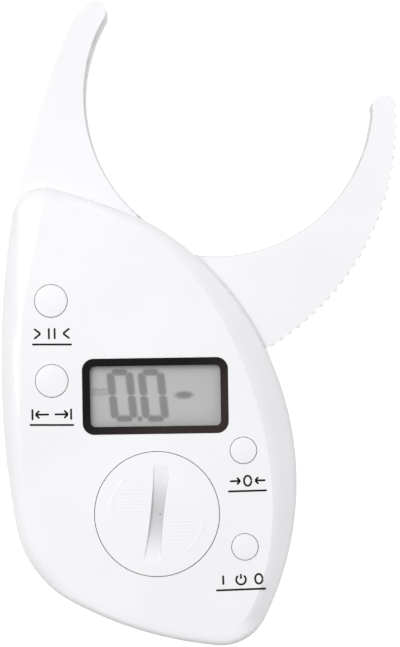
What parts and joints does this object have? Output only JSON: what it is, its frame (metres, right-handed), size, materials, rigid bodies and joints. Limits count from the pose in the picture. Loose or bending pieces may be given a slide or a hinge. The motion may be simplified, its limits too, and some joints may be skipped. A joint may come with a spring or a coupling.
{
  "type": "skinfold caliper",
  "caption": "Digital skinfold caliper: white clamshell casing with a fixed jaw, a sprung pivoting jaw, a small display, push buttons and a coin-turned battery door.",
  "frame": {"origin": "on the axis of the jaw pivot, in the plane of the flat back face", "axes": "+Z out of the front face, +Y along the casing towards the jaws, +X across the casing towards the moving jaw"},
  "size_m": [0.1049, 0.1695, 0.0176],
  "materials": {
    "casing_plastic": "smooth white ABS, satin gloss",
    "jaw_plastic": "smooth white ABS, satin gloss",
    "door_plastic": "white ABS, fine moulded ridges",
    "button_plastic": "white ABS, slightly crowned",
    "switch_plastic": "black tact switch housings",
    "bezel_plastic": "black gloss border",
    "clear_window": "clear acrylic",
    "lcd_glass": "grey-green reflective liquid crystal cell",
    "frame_plastic": "white inner frames",
    "contact_rubber": "layered conductive rubber",
    "circuit_board": "green glass-fibre board",
    "chip_resin": "black moulded packages",
    "copper_foil": "copper-clad sensor ring",
    "spring_steel": "drawn spring wire",
    "zinc_steel": "zinc-plated steel",
    "cell_steel": "nickel-plated cell can",
    "contact_metal": "nickel-plated contact strip"
  },
  "bodies": {
    "casing": {"board_components": "chip_resin", "board_screws": "zinc_steel", "casing_screws": "zinc_steel", "cell_holder": "frame_plastic", "coin_cell": "cell_steel", "controller_chip": "chip_resin", "display_bezel": "bezel_plastic", "display_window": "clear_window", "front_cover": "casing_plastic", "jaw_screw": "zinc_steel", "jaw_spring": "spring_steel", "lcd_contact_strips": "contact_rubber", "lcd_frame": "frame_plastic", "lcd_glass": "lcd_glass", "main_board": "circuit_board", "negative_contact": "contact_metal", "pivot_screw": "zinc_steel", "pivot_washer": "zinc_steel", "positive_contact": "contact_metal", "push_switches": "switch_plastic", "rear_case": "casing_plastic"},
    "moving_jaw": {"moving_jaw": "jaw_plastic", "sensor_ring": "copper_foil"},
    "hold_key": {"hold_button": "button_plastic", "hold_plunger": "switch_plastic"},
    "unit_key": {"unit_button": "button_plastic", "unit_plunger": "switch_plastic"},
    "zero_key": {"zero_button": "button_plastic", "zero_plunger": "switch_plastic"},
    "power_key": {"power_button": "button_plastic", "power_plunger": "switch_plastic"},
    "battery_door": {"battery_door": "door_plastic"}
  },
  "joints": [
    {"name": "jaw_pivot", "type": "hinge", "parent": "casing", "child": "moving_jaw", "pos_m": [0, 0, 0], "axis": [0, 0, 1], "range_deg": [0, 59.3], "stiffness_Nm_per_rad": 0.035, "springref_deg": -34.38, "deforming": ["jaw_spring"]},
    {"name": "hold_press", "type": "slide", "parent": "casing", "child": "hold_key", "axis": [0, 0, -1], "range_m": [0, 0.0003], "stiffness_N_per_m": 3000, "springref_m": -0.00012},
    {"name": "unit_press", "type": "slide", "parent": "casing", "child": "unit_key", "axis": [0, 0, -1], "range_m": [0, 0.0003], "stiffness_N_per_m": 3000, "springref_m": -0.00012},
    {"name": "zero_press", "type": "slide", "parent": "casing", "child": "zero_key", "axis": [0, 0, -1], "range_m": [0, 0.0003], "stiffness_N_per_m": 3000, "springref_m": -0.00012},
    {"name": "power_press", "type": "slide", "parent": "casing", "child": "power_key", "axis": [0, 0, -1], "range_m": [0, 0.0003], "stiffness_N_per_m": 3000, "springref_m": -0.00012},
    {"name": "door_turn", "type": "hinge", "parent": "casing", "child": "battery_door", "pos_m": [-0.00136, -0.05818, 0.0152], "axis": [0, 0, 1], "range_deg": [0, 50]}
  ]
}
